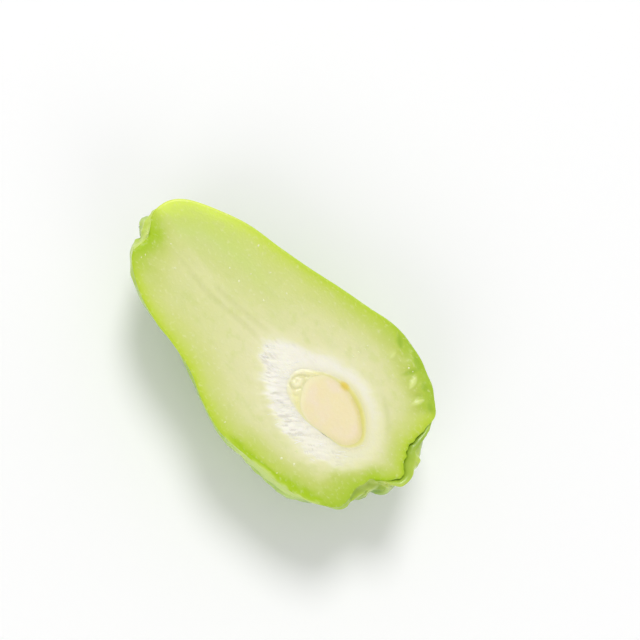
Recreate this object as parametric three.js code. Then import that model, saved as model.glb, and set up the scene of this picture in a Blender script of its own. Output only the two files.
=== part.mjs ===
// Half of a chayote squash, cut lengthwise through its seed and laid on its round side, cut face up.
// Millimetres. x runs from the stem scar to the blossom end, y runs across the cut face, z is up.
import * as THREE from 'three';
import { mergeVertices } from 'three/addons/utils/BufferGeometryUtils.js';

// ---------------------------------------------------------------- the fruit's lines, cut face at z = 0
// The cut outline is read at stations from the stem scar (first) to the blossom cleft (last): x, y.
const FULL_SIDE = [
  [0, 0], [-4.2, 4.8], [-5.5, 9.0], [-4.4, 15.0], [0.3, 20.4], [10.6, 26.1], [22.2, 30.8], [35.9, 33.6],
  [49.3, 36.7], [62.2, 40.2], [75.7, 43.4], [87.6, 46.3], [98.5, 45.9], [107.4, 43.4], [114.1, 40.6],
  [119.3, 36.7], [122.5, 32.9], [123, 19.8], [125.2, 14.4], [129.2, 9.9], [128.2, 5.1], [124, 0],
];
const HOLLOW_SIDE = [
  [0, 0], [0.7, -2.6], [0.7, -6.1], [0.9, -8.8], [4.6, -12.5], [14.3, -17.4], [25.4, -20.1], [36, -21.1],
  [47.7, -23.1], [58.8, -27.3], [71.8, -30.3], [84.9, -29.0], [96, -27.8], [105, -26], [112.2, -23.6],
  [117.7, -20.2], [121.7, -16.4], [122, -12], [121, -7.3], [121.9, -3.5], [122.1, -1.1], [124, 0],
];
// The keel is the line under the middle of the fruit: x, depth below the cut.
const KEEL = [
  [0, 0], [-4.5, 3.5], [-7.2, 8.0], [-6.0, 13.5], [-1.0, 18.0], [9.5, 22.0], [22, 25.0], [35, 28],
  [48, 31.4], [61, 34.2], [73.5, 35.6], [86, 35.9], [97, 34.9], [107, 33.0], [115, 30.2],
  [122, 26.2], [128, 21.0], [131.5, 15.5], [132.5, 10.5], [131, 6.5], [128, 3.2], [124, 0],
];
const LAST_STATION = KEEL.length - 1;
const TUCK = THREE.MathUtils.degToRad(9);      // how far the skin leans in right under the cut
const REST_DEPTH = 35.4;                       // the belly is flat here, and the half rests on it

// Furrows run from the stem scar to the blossom cleft. Angles are degrees round the belly, from the full
// side's cut edge (0) to the hollow side's (180). Each list is station, value.
const FURROWS = [
  {
    course: [[0, 58], [3, 52], [7, 52], [11, 47], [14, 42], [16, 20], [17, 3], [21, 3]],
    depth: [[0, 0], [1, 0.8], [2, 2.2], [4, 2.8], [6, 1.9], [8, 2.9], [11, 2.4], [13, 1.4], [15, 2.4],
      [17, 2.6], [18, 0.5], [19, 0], [21, 0]],
    breadth: [[0, 4.2], [12, 4.2], [15, 6.4], [21, 6.4]],
  },
  {
    course: [[0, 134], [3, 126], [7, 120], [11, 124], [14, 121], [17, 122], [21, 122]],
    depth: [[0, 0], [1, 1.4], [2, 2.8], [4, 2.2], [6, 2.6], [9, 1.5], [11, 2.6], [14, 2.8], [17, 3.2],
      [19, 2.6], [20, 1.2], [21, 0]],
    breadth: [[0, 4.6], [21, 4.6]],
  },
];
const FURROW_SHARPNESS = 1.2;                  // 1 is a crease, 2 is a round valley

// Swellings of the lobes between the furrows: middle and reach along the fruit (stations) and round the
// belly (degrees), and height.
const SWELLINGS = [
  { station: 2.4, length: 1.3, angle: 62, width: 30, height: 1.8 },
  { station: 3.0, length: 2.0, angle: 160, width: 22, height: 1.3 },
  { station: 10.0, length: 4.0, angle: 82, width: 24, height: 1.0 },
  { station: 12.0, length: 2.3, angle: 163, width: 22, height: 3.0 },
  { station: 17.4, length: 1.5, angle: 32, width: 30, height: 5.4 },
  { station: 18.6, length: 1.3, angle: 152, width: 18, height: 0.5 },
];
const LONG_LUMPS = 0.45;                       // height of the low uneven lumps of the skin
const SHORT_LUMPS = 0.35;
const EDGE_BLEND = { full: 14, hollow: 9 };    // degrees over which the relief grows from the cut edge
const END_BLEND = 1.2;                         // stations over which it grows from the two ends

// ---------------------------------------------------------------- the cut face
const ROLLED_EDGE = { from: 10.4, to: 16.8, blend: 1.2, drop: 1.3, reach: 2.6 };
const SCALLOPS = { drop: 0.8, reach: 6.5, perStation: 2.5 };
const MIDDLE = { x: 93.2, y: 6.2 };            // middle of the seed

// ---------------------------------------------------------------- the seed in its pocket
// Reach from MIDDLE, read at equal turns starting at +x and going towards +y.
const COAT_REACH = [17.2, 14.5, 12.6, 11.5, 11.3, 11.6, 12.6, 15.1, 19.3, 18.4, 14.0, 11.1, 9.8, 9.7, 11.2, 15.3];
const KERNEL_REACH = [13.9, 11.0, 9.0, 8.2, 7.8, 8.6, 10.3, 12.3, 13.0, 12.2, 11.3, 9.6, 8.6, 8.4, 9.8, 12.7];
const GAP = 0.3;                               // air between the separate pieces
const POCKET_DEPTH = 8.2;
const COAT_DEPTH = POCKET_DEPTH - GAP;
const COAT_FLOOR = 1.6;                        // thickness of the coat under the kernel
const KERNEL_DEPTH = COAT_DEPTH - COAT_FLOOR - GAP;
const BOWL_FULLNESS = 0.8;                     // under 1 gives a bowl with fuller sides than an ellipsoid
const COAT_SET = 0.25;                         // the coat's cut edge lies this far under the cut face
const FOLDS = { drop: 0.9, count: 3.5, angle: 190, width: 34 };
const KERNEL_EDGE = 0.9;                       // how far the kernel's rounded edge lies under the cut face
const KERNEL_CROWN = 0.8;                      // rise of its smooth top from that edge to its middle

// ---------------------------------------------------------------- how finely the surfaces are divided
const SKIN_ALONG = 63;
const SKIN_ROUND = 36;
const FACE_RINGS = 7;
const POCKET_RINGS = 4;
const SEED_ROUND = 52;
const SEED_RINGS = 4;

// ---------------------------------------------------------------- small helpers
const smooth = (w) => w * w * (3 - 2 * w);
const clamp01 = (w) => THREE.MathUtils.clamp(w, 0, 1);
const bell = (distance, reach) => Math.exp(-((distance / reach) ** 2));
const wave = (count, turn, phase) => Math.sin(count * turn + phase);

// A value read off a short list of [place, value], eased from one entry to the next.
function eased(list, place) {
  let k = 0;
  while (k < list.length - 2 && place >= list[k + 1][0]) k += 1;
  const [[from, a], [to, b]] = [list[k], list[k + 1]];
  return a + (b - a) * smooth(clamp01((place - from) / (to - from)));
}

// A smooth closed outline given by its reach at equal turns.
function reachAt(reaches, angle) {
  const count = reaches.length;
  const turn = THREE.MathUtils.euclideanModulo(angle / (2 * Math.PI), 1) * count;
  const k = Math.floor(turn);
  const at = (step) => reaches[(k + step + count) % count];
  const w = turn - k;
  const slopeIn = (at(1) - at(-1)) / 2;
  const slopeOut = (at(2) - at(0)) / 2;
  return at(0) + slopeIn * w + (3 * (at(1) - at(0)) - 2 * slopeIn - slopeOut) * w ** 2
    + (2 * (at(0) - at(1)) + slopeIn + slopeOut) * w ** 3;
}

const asCurve = (line) => new THREE.SplineCurve(line.map(([a, b]) => new THREE.Vector2(a, b)));
const fullSide = asCurve(FULL_SIDE);
const hollowSide = asCurve(HOLLOW_SIDE);
const keel = asCurve(KEEL);

// Triangles of one surface sheet, place(a, b) with a and b going 0..1; turned over when asked.
function sheet(columns, rows, place, turnedOver) {
  const corners = [];
  for (let i = 0; i < columns; i++) {
    for (let j = 0; j < rows; j++) {
      const [a, b, c, d] = [[i, j], [i + 1, j], [i + 1, j + 1], [i, j + 1]]
        .map(([p, q]) => place(p / columns, q / rows));
      corners.push(...(turnedOver ? [a, c, b, a, d, c] : [a, b, c, a, c, d]));
    }
  }
  return corners;
}

// Sheets joined into one closed skin: shared corners welded, triangles with no area left out.
function closed(...sheets) {
  const welded = mergeVertices(new THREE.BufferGeometry().setFromPoints(sheets.flat()), 1e-4);
  const order = welded.getIndex().array;
  const kept = [];
  for (let k = 0; k < order.length; k += 3) {
    const [a, b, c] = order.slice(k, k + 3);
    if (a !== b && b !== c && c !== a) kept.push(a, b, c);
  }
  welded.setIndex(kept);
  welded.computeVertexNormals();
  return welded;
}

// ---------------------------------------------------------------- skin
// How strongly the cut grazes the lobe on the full side, so that its edge rolls down there.
function rolled(station) {
  const { from, to, blend } = ROLLED_EDGE;
  return smooth(clamp01((station - from) / blend)) * smooth(clamp01((to - station) / blend));
}

// How far the cut face drops at a distance in from its edge, on the full side.
function faceDrop(station, inward) {
  const scallop = wave(SCALLOPS.perStation, station, 0) ** 2;
  return rolled(station) * (ROLLED_EDGE.drop * bell(inward, ROLLED_EDGE.reach)
    + SCALLOPS.drop * scallop * bell(inward, SCALLOPS.reach));
}

// The belly without its relief: a half oval through both edges and the keel.
function bareSkin(station, angle) {
  const along = station / LAST_STATION;
  const near = fullSide.getPoint(along);
  const far = hollowSide.getPoint(along);
  const under = keel.getPoint(along);
  const lean = TUCK + (Math.PI - 2 * TUCK) * (angle / Math.PI);
  const across = Math.cos(lean) / Math.cos(TUCK);
  const down = (Math.sin(lean) - Math.sin(TUCK)) / (1 - Math.sin(TUCK));
  const side = angle < Math.PI / 2 ? near.x : far.x;
  const x = side * across ** 2 + under.x * (1 - across ** 2);
  const y = (near.y + far.y) / 2 + (near.y - far.y) / 2 * across;
  return new THREE.Vector3(x, y, -under.y * down);
}

function relief(station, angle) {
  const degrees = THREE.MathUtils.radToDeg(angle);
  const along = station / LAST_STATION;
  const halfWidth = (fullSide.getPoint(along).y - hollowSide.getPoint(along).y) / 2;
  const radius = (halfWidth + keel.getPoint(along).y) / 2;
  let height = 0;
  for (const { course, depth, breadth } of FURROWS) {
    const off = THREE.MathUtils.degToRad(degrees - eased(course, station)) * radius;
    const reach = Math.abs(off) / eased(breadth, station);
    height -= eased(depth, station) * Math.exp(-(reach ** FURROW_SHARPNESS));
  }
  for (const swelling of SWELLINGS) {
    height += swelling.height * bell(station - swelling.station, swelling.length)
      * bell(degrees - swelling.angle, swelling.width);
  }
  height += LONG_LUMPS * wave(0.93, station, 2.2 * wave(2.1, angle, 0.4)) * wave(3.7, angle, 0.8 * station + 1.1);
  height += SHORT_LUMPS * wave(1.7, station, 0.7 - 2.6 * angle) * Math.cos(5.1 * angle - 0.6 * station);
  const edge = degrees < 90 ? degrees / EDGE_BLEND.full : (180 - degrees) / EDGE_BLEND.hollow;
  const end = Math.min(station, LAST_STATION - station) / END_BLEND;
  return height * smooth(clamp01(edge)) * clamp01(end);
}

function skinPoint(station, angle) {
  const nudge = 1e-3;
  const clampStation = (s) => THREE.MathUtils.clamp(s, 0, LAST_STATION);
  const clampAngle = (a) => THREE.MathUtils.clamp(a, 0, Math.PI);
  const alongFruit = bareSkin(clampStation(station + nudge), angle)
    .sub(bareSkin(clampStation(station - nudge), angle));
  const roundBelly = bareSkin(station, clampAngle(angle + nudge))
    .sub(bareSkin(station, clampAngle(angle - nudge)));
  const outward = alongFruit.cross(roundBelly).normalize();
  const point = bareSkin(station, angle).addScaledVector(outward, relief(station, angle));
  const lean = Math.cos(angle);
  if (lean > 0) point.z -= faceDrop(station, 0) * lean ** 8;
  point.z = Math.max(point.z, -REST_DEPTH);
  return point;
}

// ---------------------------------------------------------------- cut face and seed pocket
// Once round the cut edge: out along the full side, back along the hollow side.
function edgeAt(turn) {
  const onFullSide = turn < 0.5;
  const station = (onFullSide ? turn : 1 - turn) * 2 * LAST_STATION;
  return { station, onFullSide, point: skinPoint(station, onFullSide ? 0 : Math.PI) };
}

const angleFromMiddle = (point) => Math.atan2(point.y - MIDDLE.y, point.x - MIDDLE.x);

function fromMiddle(angle, reach, z) {
  return new THREE.Vector3(MIDDLE.x + reach * Math.cos(angle), MIDDLE.y + reach * Math.sin(angle), z);
}

function facePoint(turn, inwards) {
  const edge = edgeAt(turn);
  const angle = angleFromMiddle(edge.point);
  const brink = fromMiddle(angle, reachAt(COAT_REACH, angle) + GAP, 0);
  if (inwards === 0) return edge.point;
  const flatEdge = edge.point.clone().setZ(0);
  const point = flatEdge.clone().lerp(brink, inwards ** 1.6);
  if (edge.onFullSide) point.z -= faceDrop(edge.station, point.distanceTo(flatEdge));
  return point;
}

// A round-bottomed bowl below an outline: down is 0 at its brim and 1 at its lowest point.
function bowlPoint(angle, brimReach, depth, top, down) {
  const sweep = down * Math.PI / 2;
  const reach = down === 1 ? 0 : brimReach * Math.cos(sweep) ** BOWL_FULLNESS;
  return fromMiddle(angle, reach, top - (depth + top) * Math.sin(sweep));
}

function fruitHalf() {
  const skin = (a, b) => skinPoint(a * LAST_STATION, b * Math.PI);
  const pocket = (turn, down) => {
    const angle = angleFromMiddle(edgeAt(turn).point);
    return bowlPoint(angle, reachAt(COAT_REACH, angle) + GAP, POCKET_DEPTH, 0, down);
  };
  return closed(
    sheet(SKIN_ALONG, SKIN_ROUND, skin, false),
    sheet(2 * SKIN_ALONG, FACE_RINGS, facePoint, true),
    sheet(2 * SKIN_ALONG, POCKET_RINGS, pocket, true),
  );
}

// ---------------------------------------------------------------- seed coat
const kernelHole = (angle) => reachAt(KERNEL_REACH, angle) + GAP;

// The coat's cut edge, from its outline in and down to the kernel; it is crumpled where it is widest.
function coatEdgePoint(turn, inwards) {
  const angle = turn * 2 * Math.PI;
  const reach = THREE.MathUtils.lerp(reachAt(COAT_REACH, angle), kernelHole(angle), inwards);
  const crumpled = bell(THREE.MathUtils.radToDeg(angle) - FOLDS.angle, FOLDS.width);
  const fold = wave(FOLDS.count * Math.PI, inwards, 2 * angle) ** 2 * Math.sin(Math.PI * inwards);
  const tuckedIn = (KERNEL_EDGE - COAT_SET) * inwards ** 4;
  return fromMiddle(angle, reach, -COAT_SET - tuckedIn - FOLDS.drop * crumpled * fold);
}

function seedCoat() {
  const outer = (turn, down) => {
    const angle = turn * 2 * Math.PI;
    return bowlPoint(angle, reachAt(COAT_REACH, angle), COAT_DEPTH, -COAT_SET, down);
  };
  const inner = (turn, down) => {
    const angle = turn * 2 * Math.PI;
    return bowlPoint(angle, kernelHole(angle), KERNEL_DEPTH + GAP, -KERNEL_EDGE, down);
  };
  return closed(
    sheet(SEED_ROUND, SEED_RINGS, outer, true),
    sheet(SEED_ROUND, SEED_RINGS, coatEdgePoint, false),
    sheet(SEED_ROUND, SEED_RINGS, inner, false),
  );
}

// ---------------------------------------------------------------- seed kernel
function seedKernel() {
  const under = (turn, down) => {
    const angle = turn * 2 * Math.PI;
    return bowlPoint(angle, reachAt(KERNEL_REACH, angle), KERNEL_DEPTH, -KERNEL_EDGE, down);
  };
  const top = (turn, inwards) => {
    const angle = turn * 2 * Math.PI;
    const out = 1 - inwards;
    const rise = KERNEL_CROWN * (1 - out ** 4);
    return fromMiddle(angle, reachAt(KERNEL_REACH, angle) * out, rise - KERNEL_EDGE);
  };
  return closed(
    sheet(SEED_ROUND, SEED_RINGS, under, true),
    sheet(SEED_ROUND, SEED_RINGS, top, false),
  );
}

// ---------------------------------------------------------------- the part
const PIECES = [
  { name: 'fruit_half', shape: fruitHalf(), color: 0xb6d24a, roughness: 0.45 },
  { name: 'seed_coat', shape: seedCoat(), color: 0xe6e08a, roughness: 0.5 },
  { name: 'seed_kernel', shape: seedKernel(), color: 0xf3e6c0, roughness: 0.4 },
];

// The origin goes under the middle of the whole part.
const extent = new THREE.Box3();
for (const { shape } of PIECES) {
  shape.computeBoundingBox();
  extent.union(shape.boundingBox);
}
const middle = extent.getCenter(new THREE.Vector3());

const part = new THREE.Group();
part.name = 'chayote_half';
for (const { name, shape, color, roughness } of PIECES) {
  shape.translate(-middle.x, -middle.y, -extent.min.z);
  const material = new THREE.MeshStandardMaterial({ color, roughness, metalness: 0 });
  const mesh = new THREE.Mesh(shape, material);
  mesh.name = name;
  part.add(mesh);
}

export default part;
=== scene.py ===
# %% [markdown]
# # Half of a chayote squash
#
# A chayote is a pear-shaped squash with one big seed. It has a thin green skin with deep furrows that run
# from the stem scar to the blossom end, pale crisp flesh, and a white spongy pith round the seed. This lesson
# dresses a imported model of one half, cut lengthwise through the seed and lying on its round side. The packed
# model gives the size and the place of everything. The script rebuilds the same surfaces much more finely,
# from the same few lines and sizes, and gives them their skin, flesh, pith and seed.

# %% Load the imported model
import math
from itertools import product

import bpy
import numpy as np
from mathutils import Matrix, Vector
from mathutils.kdtree import KDTree


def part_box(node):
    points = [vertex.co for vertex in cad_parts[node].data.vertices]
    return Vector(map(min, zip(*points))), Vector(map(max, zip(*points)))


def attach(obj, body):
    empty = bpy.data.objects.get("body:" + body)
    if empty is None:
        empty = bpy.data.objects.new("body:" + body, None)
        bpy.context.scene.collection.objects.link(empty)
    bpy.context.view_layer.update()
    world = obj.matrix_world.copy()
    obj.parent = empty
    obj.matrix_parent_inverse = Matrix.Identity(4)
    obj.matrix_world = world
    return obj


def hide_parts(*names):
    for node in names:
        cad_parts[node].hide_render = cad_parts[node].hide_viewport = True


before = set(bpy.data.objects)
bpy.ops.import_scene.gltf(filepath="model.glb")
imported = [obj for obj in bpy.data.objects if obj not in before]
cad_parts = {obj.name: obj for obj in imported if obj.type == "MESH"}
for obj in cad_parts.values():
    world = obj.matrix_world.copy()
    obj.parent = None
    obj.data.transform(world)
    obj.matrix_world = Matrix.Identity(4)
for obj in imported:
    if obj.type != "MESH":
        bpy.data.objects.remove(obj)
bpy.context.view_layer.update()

print("nodes:", sorted(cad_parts))


# %% [markdown]
# ## The lines of the fruit
#
# The whole shape hangs on three lines in millimetres: the two sides of the cut outline, and the keel under
# the middle of the belly. Each is read at the same 22 stations from the stem scar to the blossom cleft, and a
# smooth curve goes through them. A scanned mesh could do this too, but lines can be changed by hand, and they
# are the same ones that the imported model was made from, so the fine surface lies exactly on the plain one.

# %% Stations along the fruit
FULL_SIDE = np.array([
    (0, 0), (-4.2, 4.8), (-5.5, 9.0), (-4.4, 15.0), (0.3, 20.4), (10.6, 26.1), (22.2, 30.8), (35.9, 33.6),
    (49.3, 36.7), (62.2, 40.2), (75.7, 43.4), (87.6, 46.3), (98.5, 45.9), (107.4, 43.4), (114.1, 40.6),
    (119.3, 36.7), (122.5, 32.9), (123, 19.8), (125.2, 14.4), (129.2, 9.9), (128.2, 5.1), (124, 0)])
HOLLOW_SIDE = np.array([
    (0, 0), (0.7, -2.6), (0.7, -6.1), (0.9, -8.8), (4.6, -12.5), (14.3, -17.4), (25.4, -20.1), (36, -21.1),
    (47.7, -23.1), (58.8, -27.3), (71.8, -30.3), (84.9, -29.0), (96, -27.8), (105, -26), (112.2, -23.6),
    (117.7, -20.2), (121.7, -16.4), (122, -12), (121, -7.3), (121.9, -3.5), (122.1, -1.1), (124, 0)])
KEEL = np.array([
    (0, 0), (-4.5, 3.5), (-7.2, 8.0), (-6.0, 13.5), (-1.0, 18.0), (9.5, 22.0), (22, 25.0), (35, 28),
    (48, 31.4), (61, 34.2), (73.5, 35.6), (86, 35.9), (97, 34.9), (107, 33.0), (115, 30.2),
    (122, 26.2), (128, 21.0), (131.5, 15.5), (132.5, 10.5), (131, 6.5), (128, 3.2), (124, 0)])
LAST_STATION = len(KEEL) - 1
TUCK = math.radians(9)      # how far the skin leans in right under the cut
REST_DEPTH = 35.4           # the belly is flat here, and the half rests on it
print("stations:", LAST_STATION + 1)


# %% Small maths helpers
def smooth(w):
    """From 0 to 1 as w goes from 0 to 1, with a soft start and a soft end."""
    w = np.clip(w, 0, 1)
    return w * w * (3 - 2 * w)


def bell(distance, reach):
    """1 at no distance, falling softly to almost nothing at twice the reach."""
    return np.exp(-(distance / reach) ** 2)


def through(before, here, there, after, w):
    """The smooth curve through four evenly spaced values, a share w of the way from here to there."""
    leave, arrive = (there - before) / 2, (after - here) / 2
    return ((2 * here - 2 * there + leave + arrive) * w ** 3
            + (3 * there - 3 * here - 2 * leave - arrive) * w ** 2 + leave * w + here)


def along_curve(line, station):
    """A point on the smooth curve through a line's stations."""
    last = len(line) - 1
    k = np.clip(np.floor(station).astype(int), 0, last - 1)
    before, after = line[np.maximum(k - 1, 0)], line[np.minimum(k + 2, last)]
    return through(before, line[k], line[k + 1], after, (station - k)[..., None])


def eased(table, place):
    """A value read off a short table of (place, value), eased from one entry to the next."""
    places, values = np.array(table, float).T
    k = np.clip(np.searchsorted(places, place, side="right") - 1, 0, len(places) - 2)
    share = (place - places[k]) / (places[k + 1] - places[k])
    return values[k] + (values[k + 1] - values[k]) * smooth(share)


def reach_at(reaches, angle):
    """A smooth closed outline, given by its reach from the middle at equal turns."""
    reaches = np.array(reaches, float)
    turn = np.mod(angle / (2 * math.pi), 1) * len(reaches)
    k = np.floor(turn).astype(int)
    return through(*(reaches[(k + step) % len(reaches)] for step in (-1, 0, 1, 2)), turn - k)


def distance_from(point, *centre):
    """Distance from a place in mm; a place of two numbers is a place on the cut plane."""
    return np.linalg.norm(point[..., :len(centre)] - centre, axis=-1)


# %% [markdown]
# Real surfaces are never quite even. This noise gives each point in space a smooth value between -1 and 1,
# from a seeded table of random numbers. Blender's displacement textures could do it, but here the same
# numbers also colour the surface, with painted shade in a dent and painted light on a lump.

# %% Smooth noise
NOISE_SIDE = 64
noise_tables = {}


def soft_noise(points, size, seed):
    """Smooth lumps, each about as wide as size in mm, which is one number or one for each axis."""
    if seed not in noise_tables:
        noise_tables[seed] = np.random.default_rng(seed).uniform(-1, 1, (NOISE_SIDE,) * 3)
    table = noise_tables[seed]
    cell = points / np.array(size, float)
    corner = np.floor(cell).astype(int)
    w = smooth(cell - corner)
    total = np.zeros(points.shape[:-1])
    for step in product((0, 1), repeat=3):
        step = np.array(step)
        i, j, k = np.moveaxis((corner + step) % NOISE_SIDE, -1, 0)
        total += table[i, j, k] * np.prod(np.where(step, w, 1 - w), axis=-1)
    return total


def rough_noise(points, size, seed, layers=3):
    """Soft noise with finer and finer lumps laid over it: each layer is half as wide and weaker."""
    size = np.array(size, float)
    return sum(soft_noise(points, size / 2 ** n, seed + n) / 1.8 ** n for n in range(layers))


print("one sample of noise:", round(float(soft_noise(np.array([[1.0, 2.0, 3.0]]), 2.0, 7)[0]), 3))


# %% [markdown]
# ## The skin
#
# Two furrows run the length of this half. Between them the skin swells into round lobes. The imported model
# has these furrows and swellings. The fine skin keeps them and adds what is too small for it: a sharp crease
# that comes and goes along the bottom of each furrow, short creases between them, shallow lumps and dimples
# stretched along the fruit, and wrinkles where the skin crowds together at the two ends. A sculpted mesh
# could have all this, but a height that is worked out from the place on the belly needs no brush, and each
# part of it can be changed on its own.

# %% Furrows and swellings
FURROWS = [
    {"course": [(0, 58), (3, 52), (7, 52), (11, 47), (14, 42), (16, 20), (17, 3), (21, 3)],
     "depth": [(0, 0), (1, 0.8), (2, 2.2), (4, 2.8), (6, 1.9), (8, 2.9), (11, 2.4), (13, 1.4), (15, 2.4),
               (17, 2.6), (18, 0.5), (19, 0), (21, 0)],
     "breadth": [(0, 4.2), (12, 4.2), (15, 6.4), (21, 6.4)]},
    {"course": [(0, 134), (3, 126), (7, 120), (11, 124), (14, 121), (17, 122), (21, 122)],
     "depth": [(0, 0), (1, 1.4), (2, 2.8), (4, 2.2), (6, 2.6), (9, 1.5), (11, 2.6), (14, 2.8), (17, 3.2),
               (19, 2.6), (20, 1.2), (21, 0)],
     "breadth": [(0, 4.6), (21, 4.6)]},
]
FURROW_SHARPNESS, DEEP_FURROW = 1.2, 3       # a furrow this many mm deep has its full colour and crease
SWELLINGS = [   # station, reach along the fruit, angle round the belly, reach round it, height
    (2.4, 1.3, 62, 30, 1.8), (3.0, 2.0, 160, 22, 1.3), (10.0, 4.0, 82, 24, 1.0),
    (12.0, 2.3, 163, 22, 3.0), (17.4, 1.5, 32, 30, 5.4), (18.6, 1.3, 152, 18, 0.5)]
LONG_LUMPS, SHORT_LUMPS = 0.45, 0.35
CREASE = {"depth": 1.4, "reach": 0.65, "wander": 1.3}   # a fine sharp line along the bottom of each furrow
EDGE_BLEND = {"full": 14, "hollow": 9}       # degrees from the cut over which the relief fades in
END_BLEND = 1.2                              # the same at the two ends, in stations
ROLLED_EDGE = {"from": 10.4, "to": 16.8, "blend": 1.2, "drop": 1.3, "reach": 2.6}
SCALLOPS = {"drop": 0.8, "reach": 6.5, "per_station": 2.5}


print("furrows:", len(FURROWS), "swellings:", len(SWELLINGS))


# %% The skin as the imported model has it
def rolled(station):
    """How strongly the cut grazes the lobe on the full side, so that its edge rolls down there."""
    edge = ROLLED_EDGE
    return smooth((station - edge["from"]) / edge["blend"]) * smooth((edge["to"] - station) / edge["blend"])


def face_drop(station, inward):
    """How far the cut face drops at a distance in from its edge, on the full side."""
    scallop = np.sin(SCALLOPS["per_station"] * station) ** 2
    return rolled(station) * (ROLLED_EDGE["drop"] * bell(inward, ROLLED_EDGE["reach"])
                              + SCALLOPS["drop"] * scallop * bell(inward, SCALLOPS["reach"]))


def three_lines(station):
    """Points of the two cut edges and the keel at each station."""
    return [along_curve(line, station) for line in (FULL_SIDE, HOLLOW_SIDE, KEEL)]


def bare_skin(station, angle):
    """The belly without its relief: a half oval through both cut edges and the keel."""
    near, far, under = three_lines(station)
    lean = TUCK + (math.pi - 2 * TUCK) * angle / math.pi
    across = np.cos(lean) / math.cos(TUCK)
    down = (np.sin(lean) - math.sin(TUCK)) / (1 - math.sin(TUCK))
    side = np.where(angle < math.pi / 2, near[..., 0], far[..., 0])
    x = side * across ** 2 + under[..., 0] * (1 - across ** 2)
    y = (near[..., 1] + far[..., 1]) / 2 + (near[..., 1] - far[..., 1]) / 2 * across
    return np.stack([x, y, -under[..., 1] * down], -1)


def relief(station, angle):
    """Height of lobes and furrows over the bare skin, how deep in a furrow each point is, 0 to 1, and
    the depth of the sharp crease along the bottom of the furrow."""
    degrees = np.degrees(angle)
    near, far, under = three_lines(station)
    radius = ((near[..., 1] - far[..., 1]) / 2 + under[..., 1]) / 2
    height, in_furrow, crease = np.zeros((3, *station.shape))
    for number, furrow in enumerate(FURROWS):
        off = np.radians(degrees - eased(furrow["course"], station)) * radius
        depth = eased(furrow["depth"], station)
        valley = np.exp(-(np.abs(off) / eased(furrow["breadth"], station)) ** FURROW_SHARPNESS)
        height -= depth * valley
        in_furrow += depth / DEEP_FURROW * valley ** 2
        wander = np.stack([station * 1.1, 0 * station + 7 * number, 0 * station], -1)
        off_crease = off - CREASE["wander"] * soft_noise(wander, 1, 15)
        open_here = smooth(0.6 + 1.1 * soft_noise(wander + 20, 1.6, 16))
        crease += CREASE["depth"] * open_here * depth / DEEP_FURROW * bell(off_crease, CREASE["reach"])
    for middle, length, at_angle, width, rise in SWELLINGS:
        height += rise * bell(station - middle, length) * bell(degrees - at_angle, width)
    height += (LONG_LUMPS * np.sin(0.93 * station + 2.2 * np.sin(2.1 * angle + 0.4))
               * np.sin(3.7 * angle + 0.8 * station + 1.1))
    height += SHORT_LUMPS * np.sin(1.7 * station + 0.7 - 2.6 * angle) * np.cos(5.1 * angle - 0.6 * station)
    edge = np.where(degrees < 90, degrees / EDGE_BLEND["full"], (180 - degrees) / EDGE_BLEND["hollow"])
    end = np.minimum(station, LAST_STATION - station) / END_BLEND
    fade = smooth(edge) * np.clip(end, 0, 1)
    shown = smooth(np.minimum(station - 1.0, LAST_STATION - 1.0 - station) / 2.0)
    return height * fade, np.clip(in_furrow * shown, 0, 1), crease * shown * smooth(edge)


# %% [markdown]
# Two places at the cut need more. Along the hollow side the knife left a ragged lip of skin that stands up
# just below the cut face. At the blossom end a lobe rises close to the cut face, and a narrow dark crevice
# lies between the two. Both are added to the height of the skin before it is raised, so no seam shows.

# %% The lobe at the blossom end and the ragged lip
LIP_HEIGHT, SHOULDER_HEIGHT, CREVICE_DEPTH = 1.7, 3.3, 1.2
SHOULDER_FROM = 15.9     # station where the lobe's shoulder starts


def lobe_shoulder(point, station, angle):
    """The lobe beside the blossom end rises close to the cut face, with a narrow crevice between them."""
    degrees = np.degrees(angle)
    degrees = degrees + 0.9 * soft_noise(point, 2.6, 36) * smooth(degrees / 2)
    here = smooth((station - SHOULDER_FROM) / 0.9) * smooth((LAST_STATION - 0.3 - station) / 1.2)
    raised = SHOULDER_HEIGHT * smooth((degrees - 1.2) / 4.0) * (1 - smooth((degrees - 7) / 24))
    jagged = 0.8 * soft_noise(point, 1.9, 38) * bell(degrees, 5)
    return here * (raised + jagged), here * CREVICE_DEPTH * bell(degrees - 1.6, 0.9)


def knife_side(point):
    """1 along the thick part of the fruit, where the knife left a ragged strip of skin."""
    return smooth((point[..., 0] - 73) / 12) * smooth((113 - point[..., 0]) / 8)


def with_lip(rise, point, angle):
    """Raise the skin to a ragged lip just below the cut edge on the hollow side."""
    below = 180 - np.degrees(angle)
    uneven = 1.0 + 0.38 * soft_noise(point, 3.8, 34) + 0.18 * soft_noise(point, 1.5, 35)
    lip = LIP_HEIGHT * uneven * smooth(below / 3.2)
    return rise + np.maximum(lip - rise, 0) * knife_side(point) * (1 - smooth((below - 6) / 20))


# %% Lumps, dimples, wrinkles and short creases
SHORT_CREASES = [   # from mm along and mm round the belly, to mm along and mm round, height, reach
    (12, 44, 34, 39, -0.9, 1.1), (58, 42, 84, 35, -1.0, 1.2), (80, 46, 101, 43, -0.8, 1.0),
    (30, 14, 52, 11, -0.8, 1.1), (78, 28, 94, 33, -0.9, 1.0), (22, 68, 48, 71, -0.8, 1.0),
    (86, 66, 108, 68, -0.9, 1.1), (50, 62, 66, 64, -0.6, 0.9), (64, 15, 80, 18, -0.6, 1.0),
    (100, 33, 112, 37, -0.8, 0.9), (38, 26, 56, 29, -0.5, 0.9), (96, 54, 110, 50, -0.7, 0.9)]
ALONG_PER_STATION, ROUND_PER_DEGREE = 5.9, 0.46     # mm on the belly, for laying the short creases


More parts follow.
